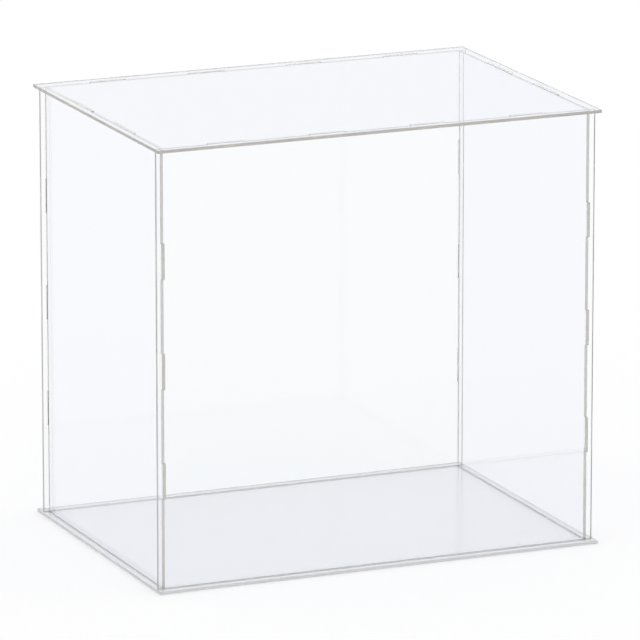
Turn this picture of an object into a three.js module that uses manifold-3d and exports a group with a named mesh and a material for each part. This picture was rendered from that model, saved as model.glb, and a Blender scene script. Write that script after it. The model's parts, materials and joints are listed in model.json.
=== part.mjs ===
import * as THREE from 'three';
import { mergeVertices } from 'three/addons/utils/BufferGeometryUtils.js';
import Module from 'manifold-3d';

// Clear acrylic display case that slots together from six flat sheets.
// Millimetres, +Z up, the front towards -Y, the origin under the middle of the base.
// The lid and the base are alike in size, and the four walls stand a little inside their edges.

const wasm = await Module();
wasm.setup();

// Outside of the assembled case
const caseWidth = 300;
const caseDepth = 212;
const caseHeight = 282;

// Thickness of every sheet
const sheet = 2;

// Where the walls stand on the base
const endInset = 1.5; // side edge of the base to the ends of the front and back walls
const faceInset = 6.5; // front edge of the base to the outer face of the front wall
const earWidth = 3.2; // end of the front wall to the outer face of a side wall

// Tabs on the upper edge of the front and back walls
const frontTabCount = 4;
const frontTabLength = 24;
const frontTabEdge = 46.5; // end of the wall to the middle of the outermost tab

// Tabs on the upper edge of the side walls
const sideTabCount = 2;
const sideTabLength = 36;
const sideTabEdge = 62.2;

// Tabs on the upright edges of the side walls
const uprightTabCount = 3;
const uprightTabLength = 22.5;
const uprightTabEdge = 69.3;

// Groove in the base that the feet of the walls stand in
const grooveDepth = 1;

// Clearances
const slotPlay = 0.3; // all round a tab in its slot
const groovePlay = 0.3; // each side of a wall in the groove
const buttGap = 0.3; // edge of a side wall to the face of the front wall
const seatGap = 0.3; // between a sheet and the one it rests on

// Levels, from the underside of the base
const lidUnderside = caseHeight - sheet;
const footLevel = sheet - grooveDepth + seatGap;
const wallHeight = lidUnderside - seatGap - footLevel;
const topTabReach = caseHeight - footLevel - wallHeight;

// Plan of the walls
const frontOuter = caseDepth / 2 - faceInset;
const frontInner = frontOuter - sheet;
const frontMiddle = frontOuter - sheet / 2;
const frontLength = caseWidth - 2 * endInset;
const sideOuter = frontLength / 2 - earWidth;
const sideMiddle = sideOuter - sheet / 2;
const sideLength = 2 * (frontInner - buttGap);
const uprightTabReach = frontOuter - sideLength / 2;

const frontTabs = tabCentres(frontLength, frontTabCount, frontTabEdge);
const sideTabs = tabCentres(sideLength, sideTabCount, sideTabEdge);
const uprightTabs = tabCentres(wallHeight, uprightTabCount, uprightTabEdge);

const clear = new THREE.MeshStandardMaterial({
  color: 0xeef2fa,
  roughness: 0.06,
  metalness: 0,
  transparent: true,
  opacity: 0.35,
});
const clearBase = clear.clone();
clearBase.color.set(0xe0e2ea);

// Middles of evenly spaced tabs, measured from the middle of an edge.
function tabCentres(length, count, edgeDistance) {
  const pitch = (length - 2 * edgeDistance) / Math.max(count - 1, 1);
  return Array.from({ length: count }, (_, i) => (i - (count - 1) / 2) * pitch);
}

// Corners met along one straight edge from a towards b, stepping out to its right over each tab.
function edgePoints(a, b, tabs, tabLength, reach) {
  const along = b.clone().sub(a).normalize();
  const outward = new THREE.Vector2(along.y, -along.x);
  const middle = a.clone().add(b).multiplyScalar(0.5);
  const corners = [[-1, 0], [-1, 1], [1, 1], [1, 0]];
  const points = [a];
  for (const centre of tabs) {
    for (const [side, step] of corners) {
      const p = middle.clone();
      p.addScaledVector(along, centre + (side * tabLength) / 2);
      p.addScaledVector(outward, step * reach);
      points.push(p);
    }
  }
  return points;
}

// Outline of a wall seen square on, its foot on the x axis and its middle on the y axis.
function wallOutline(length, topTabs, topTabLength, edgeTabs) {
  const half = length / 2;
  const footLeft = new THREE.Vector2(-half, 0);
  const footRight = new THREE.Vector2(half, 0);
  const headRight = new THREE.Vector2(half, wallHeight);
  const headLeft = new THREE.Vector2(-half, wallHeight);
  return new THREE.Shape([
    footLeft,
    ...edgePoints(footRight, headRight, edgeTabs, uprightTabLength, uprightTabReach),
    ...edgePoints(headRight, headLeft, topTabs, topTabLength, topTabReach),
    ...edgePoints(headLeft, footLeft, edgeTabs, uprightTabLength, uprightTabReach),
  ]);
}

function extrudeSheet(shape) {
  return new THREE.ExtrudeGeometry(shape, { depth: sheet, bevelEnabled: false });
}

// The plain sheet that the lid and the base are cut from, its underside on z = 0.
function plainSheet() {
  return new THREE.BoxGeometry(caseWidth, caseDepth, sheet).translate(0, 0, sheet / 2);
}

function toSolid(geometry) {
  const bare = geometry.clone();
  bare.deleteAttribute('normal');
  bare.deleteAttribute('uv');
  const welded = mergeVertices(bare, 1e-5);
  const vertProperties = new Float32Array(welded.attributes.position.array);
  const triVerts = new Uint32Array(welded.index.array);
  return new wasm.Manifold(new wasm.Mesh({ numProp: 3, vertProperties, triVerts }));
}

function toGeometry(solid) {
  const mesh = solid.getMesh();
  const indexed = new THREE.BufferGeometry();
  indexed.setAttribute('position', new THREE.BufferAttribute(mesh.vertProperties, 3));
  indexed.setIndex(new THREE.BufferAttribute(mesh.triVerts, 1));
  const geometry = indexed.toNonIndexed();
  geometry.computeVertexNormals();
  return geometry;
}

function cutAway(geometry, tools) {
  let solid = toSolid(geometry);
  for (const tool of tools) {
    solid = solid.subtract(toSolid(tool));
  }
  return toGeometry(solid);
}

// Cutter for the slot of a tab, with play all round, that goes right through a sheet.
function slotCutter(x, y, tabWidth, tabHeight) {
  const width = tabWidth + 2 * slotPlay;
  const height = tabHeight + 2 * slotPlay;
  return new THREE.BoxGeometry(width, height, 2 * sheet).translate(x, y, sheet / 2);
}

// Front and back walls: closed slots near both ends take the tabs of the side walls.
function frontWallGeometry() {
  const wall = extrudeSheet(wallOutline(frontLength, frontTabs, frontTabLength, []));
  const cutters = [];
  for (const x of [-sideMiddle, sideMiddle]) {
    for (const z of uprightTabs) {
      cutters.push(slotCutter(x, wallHeight / 2 + z, sheet, uprightTabLength));
    }
  }
  return cutAway(wall, cutters);
}

// Side walls: tabs on both upright edges come out flush with the front and back walls.
function sideWallGeometry() {
  return extrudeSheet(wallOutline(sideLength, sideTabs, sideTabLength, uprightTabs));
}

// Lid: plain sheet with a slot for each tab of the four walls.
function lidGeometry() {
  const cutters = [];
  for (const side of [-1, 1]) {
    for (const x of frontTabs) {
      cutters.push(slotCutter(x, side * frontMiddle, frontTabLength, sheet));
    }
    for (const y of sideTabs) {
      cutters.push(slotCutter(side * sideMiddle, y, sheet, sideTabLength));
    }
  }
  return cutAway(plainSheet(), cutters);
}

// Base: plain sheet with a shallow groove under each wall.
function baseGeometry() {
  const grooveWidth = sheet + 2 * groovePlay;
  const across = new THREE.BoxGeometry(frontLength + 2 * groovePlay, grooveWidth, 2 * grooveDepth);
  const along = new THREE.BoxGeometry(grooveWidth, 2 * frontMiddle, 2 * grooveDepth);
  const cutters = [];
  for (const side of [-1, 1]) {
    cutters.push(across.clone().translate(0, side * frontMiddle, sheet));
    cutters.push(along.clone().translate(side * sideMiddle, 0, sheet));
  }
  return cutAway(plainSheet(), cutters);
}

function namedMesh(name, geometry, material) {
  const mesh = new THREE.Mesh(geometry, material.clone());
  mesh.name = name;
  return mesh;
}

// A wall drawn flat is stood up with its extruded side towards -Y.
function standUp(mesh) {
  mesh.rotation.x = Math.PI / 2;
  return mesh;
}

const part = new THREE.Group();
part.name = 'display_case';

part.add(namedMesh('base_panel', baseGeometry(), clearBase));

const walls = new THREE.Group();
walls.name = 'walls';
walls.position.z = footLevel;
part.add(walls);

const frontPanel = standUp(namedMesh('front_panel', frontWallGeometry(), clear));
frontPanel.position.y = -frontInner;
walls.add(frontPanel);

const backPanel = standUp(namedMesh('back_panel', frontWallGeometry(), clear));
backPanel.position.y = frontOuter;
walls.add(backPanel);

// The side walls are stood up like the front one and then turned a quarter about the vertical.
const leftTurn = new THREE.Group();
leftTurn.rotation.z = Math.PI / 2;
leftTurn.position.x = -sideOuter;
leftTurn.add(standUp(namedMesh('left_panel', sideWallGeometry(), clear)));
walls.add(leftTurn);

const rightTurn = new THREE.Group();
rightTurn.rotation.z = Math.PI / 2;
rightTurn.position.x = sideOuter - sheet;
rightTurn.add(standUp(namedMesh('right_panel', sideWallGeometry(), clear)));
walls.add(rightTurn);

const topPanel = namedMesh('top_panel', lidGeometry(), clear);
topPanel.position.z = lidUnderside;
part.add(topPanel);

export default part;
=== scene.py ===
import json
from math import cos, radians, sin

import bmesh
import bpy
from bpy.props import FloatProperty, FloatVectorProperty, IntProperty, PointerProperty
from bpy.types import Operator, Panel, PropertyGroup
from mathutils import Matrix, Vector


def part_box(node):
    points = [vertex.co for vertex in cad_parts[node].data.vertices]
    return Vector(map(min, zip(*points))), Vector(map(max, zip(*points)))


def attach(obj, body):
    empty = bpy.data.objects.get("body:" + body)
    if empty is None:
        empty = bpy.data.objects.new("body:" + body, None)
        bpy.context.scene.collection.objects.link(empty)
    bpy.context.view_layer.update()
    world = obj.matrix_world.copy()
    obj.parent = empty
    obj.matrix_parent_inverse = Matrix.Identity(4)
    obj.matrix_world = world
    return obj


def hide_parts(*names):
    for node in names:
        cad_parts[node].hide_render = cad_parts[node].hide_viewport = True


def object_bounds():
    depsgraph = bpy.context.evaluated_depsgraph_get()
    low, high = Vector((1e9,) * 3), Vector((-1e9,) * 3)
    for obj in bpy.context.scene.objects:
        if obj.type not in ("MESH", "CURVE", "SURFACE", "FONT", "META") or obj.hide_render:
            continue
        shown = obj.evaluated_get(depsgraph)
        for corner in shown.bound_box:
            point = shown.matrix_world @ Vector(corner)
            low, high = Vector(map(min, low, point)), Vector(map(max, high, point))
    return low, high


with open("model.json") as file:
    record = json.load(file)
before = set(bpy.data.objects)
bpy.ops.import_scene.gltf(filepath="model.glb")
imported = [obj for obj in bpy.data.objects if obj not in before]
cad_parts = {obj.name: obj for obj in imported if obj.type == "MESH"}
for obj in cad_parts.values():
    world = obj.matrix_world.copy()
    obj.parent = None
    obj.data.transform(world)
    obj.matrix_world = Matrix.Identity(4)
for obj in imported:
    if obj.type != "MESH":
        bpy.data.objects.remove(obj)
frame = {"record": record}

bl_info = {
    "name": "Clear display case",
    "version": (1, 0, 0),
    "blender": (4, 5, 0),
    "location": "3D View > Sidebar > Display Case",
    "description": "Makes a slot-together case of clear acrylic sheet in a white studio",
    "category": "Object",
}

MM = 0.001
CAD_BOX = [list(corner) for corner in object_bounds()]
BODY_OF = {
    node: body for body, nodes in frame["record"]["behaviour"]["bodies"].items() for node in nodes
}
X, Y, Z = range(3)

# Which finish a face of a sheet gets
FACE, RIM, SLOT, TAB_END = range(4)  # material slots of a sheet
ON_RIM = 0.01 * MM  # an edge this near to the outline of the plain sheet counts as its rim
SQUARE_ON = 0.9  # a face whose normal is this much along an axis lies square to it
SLANTED = 0.6  # a face or its bevel whose normal is this much along an axis looks that way

# Acrylic
ACRYLIC_IOR = 1.49
FACE_CLARITY = 1.0  # share of light that a clear face lets through
EDGE_CLARITY = 0.4  # the same for a matt cut edge
SLOT_CLARITY = 0.2  # the same for the matt sides of tabs and slots
HAIR_SCALE, HAIR_DETAIL, HAIR_DISTORTION = 60.0, 6.0, 4.0  # noise that draws the hairlines
HAIR_BAND = (0.62, 0.72)  # levels of that noise where a hairline starts and where it is full
HAIR_SHADE = 0.985  # share of the tint that is left on a hairline
HAIR_ROUGHNESS = 0.03  # how much rougher a hairline is than the face round it
STRIA_SCALE, STRIA_DETAIL = 2600.0, 2.0  # noise that draws the striations of a cut
STRIA_SQUEEZE = 0.02  # squeeze of that noise across the sheet, which draws it out into lines
STRIA_BAND = (0.3, 0.7)  # levels of that noise on the darkest and the palest striation
STRIA_SHADE = 0.88  # share of the colour that is left on the darkest striation
CUT_ROUGHNESS = (0.45, 0.6)  # roughness of the darkest and the palest striation

# Stage
LIGHT_BOUNCES = 64  # enough for light that runs along inside a sheet
FLOOR_HALF = 20.0  # half the side of the floor, in metres
FLOOR_DROP = 0.3 * MM  # how far the floor lies below the base
SENSOR_WIDTH = 36.0  # in millimetres
VIEW_DEPTH = 100.0  # how far the camera sees, in metres
WHITE = (1.0, 1.0, 1.0, 1.0)


class SheetSettings(PropertyGroup):
    """Sizes that all six sheets share."""

    arris: FloatProperty(
        name="Arris",
        description="Width of the small bevel that polishing leaves along the rim of a sheet",
        default=0.22 * MM,
        min=0.0,
        subtype="DISTANCE",
        unit="LENGTH",
    )
    slot_arris: FloatProperty(
        name="Slot Arris",
        description="Width of the finer bevel along tabs, slots and grooves, which aren't polished",
        default=0.05 * MM,
        min=0.0,
        subtype="DISTANCE",
        unit="LENGTH",
    )
    slot_play: FloatProperty(
        name="Slot Play",
        description="Clearance all round a tab in its slot and of a wall in its groove",
        default=0.1 * MM,
        min=0.0,
        subtype="DISTANCE",
        unit="LENGTH",
    )
    seat_gap: FloatProperty(
        name="Seat Gap",
        description="Clearance between a sheet and the one that it rests on or butts against",
        default=0.3 * MM,
        min=0.0,
        subtype="DISTANCE",
        unit="LENGTH",
    )
    groove_depth: FloatProperty(
        name="Groove Depth",
        description="Depth of the groove in the base that the feet of the walls stand in",
        default=1.0 * MM,
        min=0.0,
        subtype="DISTANCE",
        unit="LENGTH",
    )


class TabSettings(PropertyGroup):
    """Tabs that lock the sheets together."""

    front_count: IntProperty(
        name="Front Tabs",
        description="Number of tabs on the upper edge of the front and back walls",
        default=4,
        min=1,
    )
    front_length: FloatProperty(
        name="Front Tab Length",
        description="Length of a tab on the upper edge of the front and back walls",
        default=24.0 * MM,
        subtype="DISTANCE",
        unit="LENGTH",
    )
    front_pitch: FloatProperty(
        name="Front Tab Pitch",
        description="Distance between the middles of those tabs",
        default=68.0 * MM,
        subtype="DISTANCE",
        unit="LENGTH",
    )
    side_count: IntProperty(
        name="Side Tabs",
        description="Number of tabs on the upper edge of the side walls",
        default=2,
        min=1,
    )
    side_length: FloatProperty(
        name="Side Tab Length",
        description="Length of a tab on the upper edge of the side walls",
        default=36.0 * MM,
        subtype="DISTANCE",
        unit="LENGTH",
    )
    side_pitch: FloatProperty(
        name="Side Tab Pitch",
        description="Distance between the middles of those tabs",
        default=70.0 * MM,
        subtype="DISTANCE",
        unit="LENGTH",
    )
    upright_count: IntProperty(
        name="Upright Tabs",
        description="Number of tabs on each upright edge of the side walls",
        default=3,
        min=1,
    )
    upright_length: FloatProperty(
        name="Upright Tab Length",
        description="Length of a tab on an upright edge of the side walls",
        default=22.5 * MM,
        subtype="DISTANCE",
        unit="LENGTH",
    )
    upright_pitch: FloatProperty(
        name="Upright Tab Pitch",
        description="Distance between the middles of those tabs",
        default=69.9 * MM,
        subtype="DISTANCE",
        unit="LENGTH",
    )


class AcrylicSettings(PropertyGroup):
    """Looks of the clear sheet, with painted shade and painted light in its colours."""

    # Painted shade: each sheet of the same acrylic gets its own tint, darkest on the lid and the base
    # and bluer on the side walls. Besides the faint tint of the sheet, these tints carry light and shade
    # that fall on each sheet
    front_tint_and_shade: FloatVectorProperty(
        name="Front Tint",
        description="Colour that one pass through the front or back wall gives to white",
        default=(0.975, 0.983, 0.988),
        min=0.0,
        max=1.0,
        subtype="COLOR",
    )
    side_tint_and_shade: FloatVectorProperty(
        name="Side Tint",
        description="Colour that one pass through a side wall gives to white",
        default=(0.960, 0.962, 0.989),
        min=0.0,
        max=1.0,
        subtype="COLOR",
    )
    lid_tint_and_shade: FloatVectorProperty(
        name="Lid Tint",
        description="Colour that one pass through the lid gives to white",
        default=(0.903, 0.918, 0.963),
        min=0.0,
        max=1.0,
        subtype="COLOR",
    )
    # Painted shade: darker than the wall tints, for the shade on and under the base
    base_tint_and_shade: FloatVectorProperty(
        name="Base Tint",
        description="Colour that one pass through the base gives to white",
        default=(0.932, 0.936, 0.951),
        min=0.0,
        max=1.0,
        subtype="COLOR",
    )
    # Painted shade: the cut rims of each sheet get their own grey, darkest on the front and back walls
    # and palest on the side walls. These greys stand for the shade that light running inside each sheet
    # leaves on its rims, over the matt colour of the cut
    front_edge_and_shade: FloatVectorProperty(
        name="Front Edge",
        description="Colour of the matt cut edges of the front and back walls",
        default=(0.52, 0.505, 0.485),
        min=0.0,
        max=1.0,
        subtype="COLOR",
    )
    side_edge_and_shade: FloatVectorProperty(
        name="Side Edge",
        description="Colour of the matt cut edges of the side walls",
        default=(0.82, 0.795, 0.76),
        min=0.0,
        max=1.0,
        subtype="COLOR",
    )
    lid_edge_and_shade: FloatVectorProperty(
        name="Lid Edge",
        description="Colour of the matt cut edges of the lid",
        default=(0.65, 0.622, 0.585),
        min=0.0,
        max=1.0,
        subtype="COLOR",
    )
    base_edge_and_shade: FloatVectorProperty(
        name="Base Edge",
        description="Colour of the matt cut edges of the base",
        default=(0.80, 0.80, 0.82),
        min=0.0,
        max=1.0,
        subtype="COLOR",
    )
    # Painted light: the sides of tabs and slots are near white, paler than any other cut face, which
    # lifts the shade in the narrow gaps round the tabs
    slot_edge_and_light: FloatVectorProperty(
        name="Slot Edge",
        description="Colour of the finer cut faces of tabs and slots",
        default=(1.0, 0.99, 0.975),
        min=0.0,
        max=1.0,
        subtype="COLOR",
    )
    # Painted shade: the tab ends are the same cut as the rims of the side walls but darker, standing for
    # the shade at the tabs in their slots
    tab_end_and_shade: FloatVectorProperty(
        name="Tab End",
        description="Colour of the ends of the upright tabs, flush with the front and back walls",
        default=(0.74, 0.695, 0.64),
        min=0.0,
        max=1.0,
        subtype="COLOR",
    )
    face_roughness: FloatProperty(
        name="Face Roughness",
        description="Roughness of the polished faces of the walls and the lid",
        default=0.0,
        min=0.0,
        max=1.0,
        subtype="FACTOR",
    )
    base_roughness: FloatProperty(
        name="Base Roughness",
        description="Roughness of the satin faces of the base",
        default=0.12,
        min=0.0,
        max=1.0,
        subtype="FACTOR",
    )


class StageSettings(PropertyGroup):
    """Floor, light and camera."""

    floor_colour: FloatVectorProperty(
        name="Floor Colour",
        description="Colour of the studio floor",
        default=(1.0, 1.0, 1.0),
        min=0.0,
        max=1.0,
        subtype="COLOR",
    )
    dome_level: FloatProperty(
        name="Dome Level",
        description="Strength of the even white dome of light",
        default=1.0,
        min=0.0,
    )
    lens: FloatProperty(
        name="Lens",
        description="Focal length in millimetres on a sensor 36 mm wide",
        default=405.0,
    )
    camera_turn: FloatProperty(
        name="Camera Turn",
        description="How far the camera stands to the left of the front",
        default=radians(-23.2),
        subtype="ANGLE",
        unit="ROTATION",
    )
    camera_rise: FloatProperty(
        name="Camera Rise",
        description="Height of the camera above the horizon",
        default=radians(13.925),
        subtype="ANGLE",
        unit="ROTATION",
    )
    camera_reach: FloatProperty(
        name="Camera Reach",
        description="Distance from the middle of the case to the camera",
        default=4.58,
        subtype="DISTANCE",
        unit="LENGTH",
    )
    aim_right: FloatProperty(
        name="Aim Right",
        description="Sideways step of the camera from the middle of the case",
        default=2.98 * MM,
        subtype="DISTANCE",
        unit="LENGTH",
    )
    aim_down: FloatProperty(
        name="Aim Down",
        description="Downward step of the camera from the middle of the case",
        default=3.98 * MM,
        subtype="DISTANCE",
        unit="LENGTH",
    )


class SheetTree:
    """Node tree that adds rows of tabs to a flat sheet and cuts rows of slots out of it."""

    def __init__(self, name, thin_axis):
        self.group = bpy.data.node_groups.new(name, "GeometryNodeTree")
        self.group.interface.new_socket(
            "Geometry", in_out="OUTPUT", socket_type="NodeSocketGeometry"
        )
        self.entry = self.group.nodes.new("NodeGroupInput")
        self.thin_axis = thin_axis
        self.identifiers = {}
        self.tabs = []
        self.slots = []

    def node(self, kind, **settings):
        made = self.group.nodes.new(kind)
        for key, value in settings.items():
            setattr(made, key, value)
        return made

    def link(self, source, target):
        self.group.links.new(source, target)

    def named_input(self, label, kind):
        """Adds a group input and returns the socket that the tree reads it from."""
        socket = self.group.interface.new_socket(label, in_out="INPUT", socket_type=kind)
        self.identifiers[label] = socket.identifier
        return self.entry.outputs[label]

    def vector_math(self, operation, first, second=None, scale=None):
        made = self.node("ShaderNodeVectorMath", operation=operation)
        self.link(first, made.inputs[0])
        if isinstance(second, tuple):
            made.inputs[1].default_value = second
        elif second is not None:
            self.link(second, made.inputs[1])
        if scale is not None:
            self.link(scale, made.inputs["Scale"])
        return made.outputs["Value" if operation == "DOT_PRODUCT" else "Vector"]

    def math(self, operation, first, second):
        made = self.node("ShaderNodeMath", operation=operation)
        self.link(first, made.inputs[0])
        made.inputs[1].default_value = second
        return made.outputs[0]

    def block(self, size, centre):
        """A box of that size about that point."""
        cube = self.node("GeometryNodeMeshCube")
        self.link(size, cube.inputs["Size"])
        placed = self.node("GeometryNodeTransform")
        self.link(cube.outputs["Mesh"], placed.inputs["Geometry"])
        self.link(centre, placed.inputs["Translation"])
        return placed.outputs["Geometry"]

    def body(self):
        """The plain sheet."""
        size = self.named_input("Sheet Size", "NodeSocketVector")
        centre = self.named_input("Sheet Centre", "NodeSocketVector")
        return self.block(size, centre)

    def row(self, label, along, mirrored=None):
        """Evenly spaced blocks along one axis, and where it is mirrored a second row across the case."""
        count = self.named_input(label + " Count", "NodeSocketInt")
        pitch = self.named_input(label + " Pitch", "NodeSocketFloat")
        size = self.named_input(label + " Size", "NodeSocketVector")
        middle = self.named_input(label + " Centre", "NodeSocketVector")
        cube = self.node("GeometryNodeMeshCube")
        self.link(size, cube.inputs["Size"])
        step = self.node("ShaderNodeCombineXYZ")
        self.link(pitch, step.inputs[along])
        half_gaps = self.math("MULTIPLY", self.math("SUBTRACT", count, 1.0), 0.5)
        half_row = self.vector_math("SCALE", step.outputs[0], scale=half_gaps)
        middles = [middle]
        if mirrored is not None:
            flip = tuple(-1.0 if axis == mirrored else 1.0 for axis in range(3))
            middles.append(self.vector_math("MULTIPLY", middle, flip))
        rows = []
        for centre in middles:
            line = self.node("GeometryNodeMeshLine", mode="OFFSET")
            self.link(count, line.inputs["Count"])
            self.link(self.vector_math("SUBTRACT", centre, half_row), line.inputs["Start Location"])
            self.link(step.outputs[0], line.inputs["Offset"])
            copies = self.node("GeometryNodeInstanceOnPoints")
            self.link(line.outputs["Mesh"], copies.inputs["Points"])
            self.link(cube.outputs["Mesh"], copies.inputs["Instance"])
            real = self.node("GeometryNodeRealizeInstances")
            self.link(copies.outputs["Instances"], real.inputs["Geometry"])
            rows.append(real.outputs["Geometry"])
        return rows

    def add_tabs(self, label, along, mirrored=None):
        self.tabs += self.row(label, along, mirrored)

    def cut_slots(self, label, along, mirrored=None):
        self.slots += self.row(label, along, mirrored)

    def rim_weight(self):
        """Bevel weight of an edge: 1 on the rim of the plain sheet, less on its tabs and slots."""
        ends = self.node("GeometryNodeInputMeshEdgeVertices")
        half = self.vector_math("MULTIPLY", self.entry.outputs["Sheet Size"], (0.5, 0.5, 0.5))
        off_rim = []
        for position in ("Position 1", "Position 2"):
            out = self.vector_math(
                "SUBTRACT", ends.outputs[position], self.entry.outputs["Sheet Centre"]
            )
            past = self.vector_math("SUBTRACT", self.vector_math("ABSOLUTE", out), half)
            off_rim.append(self.vector_math("ABSOLUTE", past))
        split = self.node("ShaderNodeSeparateXYZ")
        self.link(self.vector_math("MAXIMUM", *off_rim), split.inputs[0])
        flat_axes = [axis for axis in (X, Y, Z) if axis != self.thin_axis]
        nearest = self.node("ShaderNodeMath", operation="MINIMUM")
        for axis, target in zip(flat_axes, nearest.inputs):
            self.link(split.outputs[axis], target)
        weight = self.node("GeometryNodeSwitch", input_type="FLOAT")
        self.link(self.math("LESS_THAN", nearest.outputs[0], ON_RIM), weight.inputs["Switch"])
        self.link(self.named_input("Slot Arris Share", "NodeSocketFloat"), weight.inputs["False"])
        weight.inputs["True"].default_value = 1.0
        return weight.outputs["Output"]

    def close(self):
        """Joins the tabs, cuts the slots, weighs the edges for the arris and sets the material."""
        shape = self.body()
        if self.tabs:
            joined = self.node("GeometryNodeMeshBoolean", operation="UNION", solver="MANIFOLD")
            for part in [shape, *self.tabs]:
                self.link(part, joined.inputs[1])
            shape = joined.outputs["Mesh"]
        if self.slots:
            cut = self.node("GeometryNodeMeshBoolean", operation="DIFFERENCE", solver="MANIFOLD")
            self.link(shape, cut.inputs[0])
            for part in self.slots:
                self.link(part, cut.inputs[1])
            shape = cut.outputs["Mesh"]
        weighed = self.node("GeometryNodeStoreNamedAttribute", data_type="FLOAT", domain="EDGE")
        weighed.inputs["Name"].default_value = "bevel_weight_edge"
        self.link(shape, weighed.inputs["Geometry"])
        self.link(self.rim_weight(), weighed.inputs["Value"])
        real = self.node("GeometryNodeRealizeInstances")
        self.link(weighed.outputs["Geometry"], real.inputs["Geometry"])
        finish = self.node("GeometryNodeSetMaterial")
        self.link(real.outputs["Geometry"], finish.inputs["Geometry"])
        self.link(self.named_input("Material", "NodeSocketMaterial"), finish.inputs["Material"])
        exit_node = self.node("NodeGroupOutput")
        self.link(finish.outputs["Geometry"], exit_node.inputs["Geometry"])


def sheet_box(node):
    """Size and centre of a sheet in the frame."""
    low, high = map(Vector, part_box(node))
    return high - low, (low + high) / 2


def wall_levels(node):
    """Foot and shoulder of a wall, and how far its upper tabs rise past the shoulder."""
    low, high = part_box(node)
    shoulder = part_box("top_panel")[0][Z] - bpy.context.scene.case_sheet.seat_gap
    return low[Z], shoulder, high[Z] - shoulder


def make_sheet(node, tree, values, finishes):
    """Runs the tree, bevels the edges and leaves a plain closed mesh that stands for the CAD sheet."""
    seed = bpy.data.objects.new(node + "_seed", bpy.data.meshes.new(node + "_seed"))
    bpy.context.scene.collection.objects.link(seed)
    rule = seed.modifiers.new("Sheet", "NODES")
    rule.node_group = tree.group
    for label, value in values.items():
        rule[tree.identifiers[label]] = tuple(value) if isinstance(value, Vector) else value
    sheet = bpy.context.scene.case_sheet
    rule[tree.identifiers["Material"]] = finishes[FACE]
    rule[tree.identifiers["Slot Arris Share"]] = sheet.slot_arris / sheet.arris
    arris = seed.modifiers.new("Arris", "BEVEL")
    arris.width = sheet.arris
    arris.segments = 1
    arris.limit_method = "WEIGHT"
    depsgraph = bpy.context.evaluated_depsgraph_get()
    mesh = bpy.data.meshes.new_from_object(
        seed.evaluated_get(depsgraph), preserve_all_data_layers=True, depsgraph=depsgraph
    )
    seed_mesh = seed.data
    bpy.data.objects.remove(seed)
    bpy.data.meshes.remove(seed_mesh)
    mesh.name = node + "_sheet"
    check_closed(mesh)
    mesh.materials.clear()
    for finish in finishes:
        mesh.materials.append(finish)
    part_faces(mesh, tree.thin_axis, values["Sheet Size"], values["Sheet Centre"])
    piece = bpy.data.objects.new(node + "_sheet", mesh)
    bpy.context.scene.collection.objects.link(piece)
    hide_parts(node)
    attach(piece, BODY_OF[node])


def part_faces(mesh, thin_axis, size, centre):
    """Sets the material of each face: clear face, cut rim, tab end, or side of a tab or slot.

    The closed slots of a wall are as clear as its faces.
    """
    flat_axes = [axis for axis in (X, Y, Z) if axis != thin_axis]
    near = bpy.context.scene.case_sheet.arris
    for face in mesh.polygons:
        past = {axis: abs(face.center[axis] - centre[axis]) - size[axis] / 2 for axis in flat_axes}
        tab_axes = [axis for axis in flat_axes if axis != Z and past[axis] > near]
        if abs(face.normal[thin_axis]) > SQUARE_ON:
            face.material_index = FACE
        elif min(map(abs, past.values())) < near:
            face.material_index = RIM
        elif any(abs(face.normal[axis]) > SLANTED for axis in tab_axes):
            face.material_index = TAB_END
        elif thin_axis != Z and max(past.values()) < 0.0:
            face.material_index = FACE
        else:
            face.material_index = SLOT


def check_closed(mesh):
    """Stops the script if the mesh isn't the skin of a solid."""
    solid = bmesh.new()
    solid.from_mesh(mesh)
    open_edges = sum(1 for edge in solid.edges if len(edge.link_faces) != 2)
    volume = solid.calc_volume(signed=True)
    solid.free()
    if open_edges or volume <= 0.0:
        fault = f"{open_edges} open edges, volume {volume}"
        raise RuntimeError(f"{mesh.name} isn't a closed sheet: {fault}")


class MaterialNodes:
    """Short ways to add and link the nodes of one material."""

    def __init__(self, name):
        self.material = bpy.data.materials.new(name)
        self.material.use_nodes = True
        self.tree = self.material.node_tree
        self.tree.nodes.clear()
        self.output = self.add("ShaderNodeOutputMaterial")

    def add(self, kind, **settings):
        made = self.tree.nodes.new(kind)
        for key, value in settings.items():
            setattr(made, key, value)
        return made

    def link(self, source, target):
        self.tree.links.new(source, target)

    def acrylic(self, clarity):
        """Adds the shader of acrylic that lets that share of light through."""
        surface = self.add("ShaderNodeBsdfPrincipled")
        surface.inputs["IOR"].default_value = ACRYLIC_IOR
        surface.inputs["Transmission Weight"].default_value = clarity
        self.link(surface.outputs["BSDF"], self.output.inputs["Surface"])
        return surface

    def place(self):
        """Where a point lies in the frame."""
        return self.add("ShaderNodeTexCoord").outputs["Object"]

    def blend(self, factor, first, second):
        """Goes from the first colour to the second as the factor goes from 0 to 1."""
        made = self.add("ShaderNodeMix", data_type="RGBA")
        sockets = {socket.identifier: socket for socket in made.inputs}
        self.link(factor, sockets["Factor_Float"])
        sockets["A_Color"].default_value = (*first, 1.0)
        sockets["B_Color"].default_value = (*second, 1.0)
        return next(socket for socket in made.outputs if socket.identifier == "Result_Color")

    def noise(self, place, scale, detail, distortion=0.0):
        made = self.add("ShaderNodeTexNoise")
        self.link(place, made.inputs["Vector"])
        for key, value in (("Scale", scale), ("Detail", detail), ("Distortion", distortion)):
            made.inputs[key].default_value = value
        return made.outputs["Fac"]

    def span(self, source, band, result=(0.0, 1.0)):
        """Maps the band to the result and holds it there outside."""
        made = self.add("ShaderNodeMapRange")
        self.link(source, made.inputs["Value"])
        for key, value in zip(("From Min", "From Max", "To Min", "To Max"), (*band, *result)):
            made.inputs[key].default_value = value
        return made.outputs["Result"]


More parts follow.
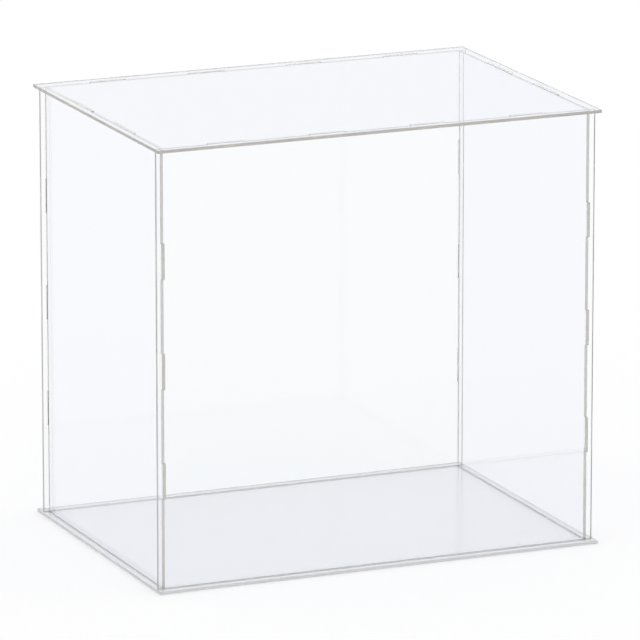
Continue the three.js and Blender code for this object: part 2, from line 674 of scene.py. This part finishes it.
def clear_acrylic(name, tint_and_shade, roughness):
    """Face of clear cast sheet, with faint hairlines, in a tint that also carries painted shade."""
    nodes = MaterialNodes(name)
    surface = nodes.acrylic(FACE_CLARITY)
    hairs = nodes.noise(nodes.place(), HAIR_SCALE, HAIR_DETAIL, HAIR_DISTORTION)
    hair_tint = tuple(HAIR_SHADE * part for part in tint_and_shade)
    colour = nodes.blend(nodes.span(hairs, HAIR_BAND), tint_and_shade, hair_tint)
    nodes.link(colour, surface.inputs["Base Color"])
    rough = nodes.span(hairs, HAIR_BAND, (roughness, roughness + HAIR_ROUGHNESS))
    nodes.link(rough, surface.inputs["Roughness"])
    return nodes.material


def cut_edge(name, colour, thin_axis, clarity):
    """Matt cut edge of the sheet, with fine striations across it, in a colour that carries painted shade
    on the rims and tab ends and painted light on the sides of tabs and slots.
    """
    nodes = MaterialNodes(name)
    surface = nodes.acrylic(clarity)
    across = nodes.add("ShaderNodeMapping")
    squeeze = [STRIA_SQUEEZE if axis == thin_axis else 1.0 for axis in (X, Y, Z)]
    across.inputs["Scale"].default_value = squeeze
    nodes.link(nodes.place(), across.inputs["Vector"])
    striae = nodes.noise(across.outputs["Vector"], STRIA_SCALE, STRIA_DETAIL)
    dark = tuple(STRIA_SHADE * part for part in colour)
    shade = nodes.blend(nodes.span(striae, STRIA_BAND), dark, colour)
    nodes.link(shade, surface.inputs["Base Color"])
    nodes.link(nodes.span(striae, STRIA_BAND, CUT_ROUGHNESS), surface.inputs["Roughness"])
    return nodes.material


def sheet_finishes(name, tint_and_shade, roughness, edge_colour_and_shade, thin_axis):
    """The materials of a sheet, in the order of its material slots."""
    look = bpy.context.scene.case_acrylic
    return (
        # Clear faces: the sheet's tint, with painted shade
        clear_acrylic(f"clear_{name}_sheet", tint_and_shade, roughness),
        # Cut rims: matt edge colour with painted shade
        cut_edge(f"cut_{name}_edge", edge_colour_and_shade, thin_axis, EDGE_CLARITY),
        # Sides of tabs and slots: near-white colour as painted light
        cut_edge(f"cut_{name}_slot", look.slot_edge_and_light, thin_axis, SLOT_CLARITY),
        # Ends of the upright tabs: cut colour with painted shade
        cut_edge(f"cut_{name}_tab_end_and_shade", look.tab_end_and_shade, thin_axis, EDGE_CLARITY),
    )


class DISPLAYCASE_OT_front_and_back(Operator):
    """Make the front and back walls, with tabs for the lid and closed slots for the side walls"""

    bl_idname = "display_case.front_and_back"
    bl_label = "Front and Back Walls"

    def execute(self, context):
        sheet, tabs = context.scene.case_sheet, context.scene.case_tabs
        tree = SheetTree("Front wall", Y)
        tree.add_tabs("Upper Tab", X)
        tree.cut_slots("Upright Slot", Z, mirrored=X)
        tree.close()
        look = context.scene.case_acrylic
        finishes = sheet_finishes("front", look.front_tint_and_shade, look.face_roughness, look.front_edge_and_shade, Y)
        side_size, side_centre = sheet_box("right_panel")
        for node in ("front_panel", "back_panel"):
            size, centre = sheet_box(node)
            thick = size.y
            foot, shoulder, reach = wall_levels(node)
            middle = (shoulder + foot) / 2
            values = {
                "Sheet Size": Vector((size.x, thick, shoulder - foot)),
                "Sheet Centre": Vector((0.0, centre.y, middle)),
                "Upper Tab Count": tabs.front_count,
                "Upper Tab Pitch": tabs.front_pitch,
                "Upper Tab Size": Vector((tabs.front_length, thick, 2 * reach)),
                "Upper Tab Centre": Vector((0.0, centre.y, shoulder)),
                "Upright Slot Count": tabs.upright_count,
                "Upright Slot Pitch": tabs.upright_pitch,
                "Upright Slot Size": Vector((
                    side_size.x + 2 * sheet.slot_play,
                    2 * thick,
                    tabs.upright_length + 2 * sheet.slot_play,
                )),
                "Upright Slot Centre": Vector((side_centre.x, centre.y, middle)),
            }
            make_sheet(node, tree, values, finishes)
        return {"FINISHED"}


class DISPLAYCASE_OT_sides(Operator):
    """Make the side walls, with tabs for the lid and tabs on both upright edges"""

    bl_idname = "display_case.sides"
    bl_label = "Side Walls"

    def execute(self, context):
        sheet, tabs = context.scene.case_sheet, context.scene.case_tabs
        tree = SheetTree("Side wall", X)
        tree.add_tabs("Upper Tab", Y)
        tree.add_tabs("Upright Tab", Z, mirrored=Y)
        tree.close()
        look = context.scene.case_acrylic
        finishes = sheet_finishes("side", look.side_tint_and_shade, look.face_roughness, look.side_edge_and_shade, X)
        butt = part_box("back_panel")[0][Y] - sheet.seat_gap
        for node in ("left_panel", "right_panel"):
            size, centre = sheet_box(node)
            thick = size.x
            foot, shoulder, reach = wall_levels(node)
            middle = (shoulder + foot) / 2
            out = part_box(node)[1][Y] - butt
            values = {
                "Sheet Size": Vector((thick, 2 * butt, shoulder - foot)),
                "Sheet Centre": Vector((centre.x, 0.0, middle)),
                "Upper Tab Count": tabs.side_count,
                "Upper Tab Pitch": tabs.side_pitch,
                "Upper Tab Size": Vector((thick, tabs.side_length, 2 * reach)),
                "Upper Tab Centre": Vector((centre.x, 0.0, shoulder)),
                "Upright Tab Count": tabs.upright_count,
                "Upright Tab Pitch": tabs.upright_pitch,
                "Upright Tab Size": Vector((thick, 2 * out, tabs.upright_length)),
                "Upright Tab Centre": Vector((centre.x, butt, middle)),
            }
            make_sheet(node, tree, values, finishes)
        return {"FINISHED"}


class DISPLAYCASE_OT_lid(Operator):
    """Make the lid, with a slot for each upper tab of the walls"""

    bl_idname = "display_case.lid"
    bl_label = "Lid"

    def execute(self, context):
        sheet, tabs = context.scene.case_sheet, context.scene.case_tabs
        tree = SheetTree("Lid", Z)
        tree.cut_slots("Long Slot", X, mirrored=Y)
        tree.cut_slots("Short Slot", Y, mirrored=X)
        tree.close()
        size, centre = sheet_box("top_panel")
        back_size, back_centre = sheet_box("back_panel")
        right_size, right_centre = sheet_box("right_panel")
        play = 2 * sheet.slot_play
        values = {
            "Sheet Size": size,
            "Sheet Centre": centre,
            "Long Slot Count": tabs.front_count,
            "Long Slot Pitch": tabs.front_pitch,
            "Long Slot Size": Vector((tabs.front_length + play, back_size.y + play, 2 * size.z)),
            "Long Slot Centre": Vector((0.0, back_centre.y, centre.z)),
            "Short Slot Count": tabs.side_count,
            "Short Slot Pitch": tabs.side_pitch,
            "Short Slot Size": Vector((right_size.x + play, tabs.side_length + play, 2 * size.z)),
            "Short Slot Centre": Vector((right_centre.x, 0.0, centre.z)),
        }
        look = context.scene.case_acrylic
        finishes = sheet_finishes("lid", look.lid_tint_and_shade, look.face_roughness, look.lid_edge_and_shade, Z)
        make_sheet("top_panel", tree, values, finishes)
        return {"FINISHED"}


class DISPLAYCASE_OT_base(Operator):
    """Make the base, with a shallow groove for the feet of the walls"""

    bl_idname = "display_case.base"
    bl_label = "Base"

    def execute(self, context):
        sheet = context.scene.case_sheet
        tree = SheetTree("Base", Z)
        tree.cut_slots("Long Groove", X, mirrored=Y)
        tree.cut_slots("Short Groove", Y, mirrored=X)
        tree.close()
        size, centre = sheet_box("base_panel")
        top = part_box("base_panel")[1][Z]
        back_size, back_centre = sheet_box("back_panel")
        right_size, right_centre = sheet_box("right_panel")
        play = 2 * sheet.slot_play
        deep = 2 * sheet.groove_depth
        values = {
            "Sheet Size": size,
            "Sheet Centre": centre,
            "Long Groove Count": 1,
            "Long Groove Pitch": 0.0,
            "Long Groove Size": Vector((back_size.x + play, back_size.y + play, deep)),
            "Long Groove Centre": Vector((0.0, back_centre.y, top)),
            "Short Groove Count": 1,
            "Short Groove Pitch": 0.0,
            "Short Groove Size": Vector((right_size.x + play, 2 * back_centre.y, deep)),
            "Short Groove Centre": Vector((right_centre.x, 0.0, top)),
        }
        look = context.scene.case_acrylic
        finishes = sheet_finishes("base", look.base_tint_and_shade, look.base_roughness, look.base_edge_and_shade, Z)
        make_sheet("base_panel", tree, values, finishes)
        return {"FINISHED"}


def make_floor(settings):
    corners = [(-FLOOR_HALF, -FLOOR_HALF), (FLOOR_HALF, -FLOOR_HALF)]
    corners += [(FLOOR_HALF, FLOOR_HALF), (-FLOOR_HALF, FLOOR_HALF)]
    mesh = bpy.data.meshes.new("studio_floor")
    mesh.from_pydata([(x, y, -FLOOR_DROP) for x, y in corners], [], [(0, 1, 2, 3)])
    floor = bpy.data.objects.new("studio_floor", mesh)
    bpy.context.scene.collection.objects.link(floor)
    paint = MaterialNodes("studio_floor")
    matt = paint.add("ShaderNodeBsdfDiffuse")
    matt.inputs["Color"].default_value = (*settings.floor_colour, 1.0)
    paint.link(matt.outputs["BSDF"], paint.output.inputs["Surface"])
    mesh.materials.append(paint.material)


def make_dome(settings):
    world = bpy.data.worlds.new("studio_dome")
    bpy.context.scene.world = world
    world.use_nodes = True
    dome = world.node_tree.nodes["Background"]
    dome.inputs["Color"].default_value = WHITE
    dome.inputs["Strength"].default_value = settings.dome_level


def make_camera(settings):
    """The camera turns and rises about the middle of the case, then steps aside without turning."""
    lens = bpy.data.cameras.new("camera")
    lens.sensor_width = SENSOR_WIDTH
    lens.lens = settings.lens
    lens.clip_end = VIEW_DEPTH
    camera = bpy.data.objects.new("camera", lens)
    bpy.context.scene.collection.objects.link(camera)
    turn, rise = settings.camera_turn, settings.camera_rise
    back = Vector((sin(turn) * cos(rise), -cos(turn) * cos(rise), sin(rise)))
    camera.rotation_euler = (-back).to_track_quat("-Z", "Y").to_euler()
    axes = camera.rotation_euler.to_matrix()
    middle = (Vector(CAD_BOX[0]) + Vector(CAD_BOX[1])) / 2
    step = axes @ Vector((settings.aim_right, -settings.aim_down, 0.0))
    camera.location = middle + back * settings.camera_reach + step
    bpy.context.scene.camera = camera


class DISPLAYCASE_OT_stage(Operator):
    """Make the white floor, the dome of light and the camera"""

    bl_idname = "display_case.stage"
    bl_label = "Stage"

    def execute(self, context):
        scene = context.scene
        scene.view_settings.view_transform = "Standard"
        scene.cycles.max_bounces = LIGHT_BOUNCES
        scene.cycles.transmission_bounces = LIGHT_BOUNCES
        scene.cycles.glossy_bounces = LIGHT_BOUNCES
        scene.cycles.blur_glossy = 0.0
        make_floor(scene.case_stage)
        make_dome(scene.case_stage)
        make_camera(scene.case_stage)
        return {"FINISHED"}


class DISPLAYCASE_PT_panel(Panel):
    """Lists the pieces of the case"""

    bl_idname = "DISPLAYCASE_PT_panel"
    bl_label = "Display Case"
    bl_space_type = "VIEW_3D"
    bl_region_type = "UI"
    bl_category = "Display Case"

    def draw(self, context):
        column = self.layout.column()
        for operator in OPERATORS:
            column.operator(operator.bl_idname)
        for owner in SETTINGS:
            group = getattr(context.scene, owner)
            for key in group.bl_rna.properties.keys():
                if key not in ("rna_type", "name"):
                    column.prop(group, key)


OPERATORS = (
    DISPLAYCASE_OT_front_and_back,
    DISPLAYCASE_OT_sides,
    DISPLAYCASE_OT_lid,
    DISPLAYCASE_OT_base,
    DISPLAYCASE_OT_stage,
)
SETTINGS = {
    "case_sheet": SheetSettings,
    "case_tabs": TabSettings,
    "case_acrylic": AcrylicSettings,
    "case_stage": StageSettings,
}
CLASSES = (*SETTINGS.values(), *OPERATORS, DISPLAYCASE_PT_panel)


def register():
    for cls in CLASSES:
        bpy.utils.register_class(cls)
    for owner, cls in SETTINGS.items():
        setattr(bpy.types.Scene, owner, PointerProperty(type=cls))


def unregister():
    for owner in SETTINGS:
        delattr(bpy.types.Scene, owner)
    for cls in reversed(CLASSES):
        bpy.utils.unregister_class(cls)


def main():
    register()
    bpy.ops.display_case.front_and_back()
    bpy.ops.display_case.sides()
    bpy.ops.display_case.lid()
    bpy.ops.display_case.base()
    bpy.ops.display_case.stage()
    bpy.context.view_layer.update()


if __name__ == "__main__":
    main()
